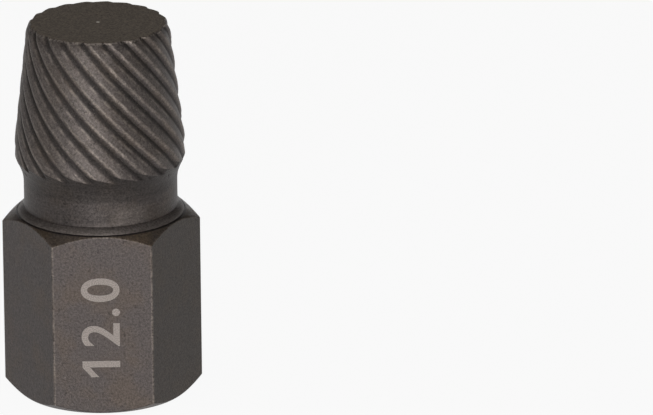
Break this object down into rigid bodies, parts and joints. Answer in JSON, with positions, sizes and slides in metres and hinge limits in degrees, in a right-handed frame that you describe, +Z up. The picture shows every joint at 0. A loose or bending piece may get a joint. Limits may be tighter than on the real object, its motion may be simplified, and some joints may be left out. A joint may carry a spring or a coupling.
{
  "type": "screw extractor",
  "caption": "Short spiral-flute screw extractor: a tapered head with left-hand flutes bites into a drilled hole, and a hexagonal body takes a wrench or socket.",
  "frame": {"origin": "centre of the flat base, on the tool's axis", "axes": "+Z up along the axis from the hexagonal base to the fluted tip; one flat of the hexagon faces -Y, the front, and two of its corners lie on X"},
  "size_m": [0.0138, 0.012, 0.0267],
  "materials": {
    "extractor": "matt dark phosphate with a little bare steel on the edges"
  },
  "bodies": {
    "root": {"extractor": "extractor"}
  },
  "joints": []
}
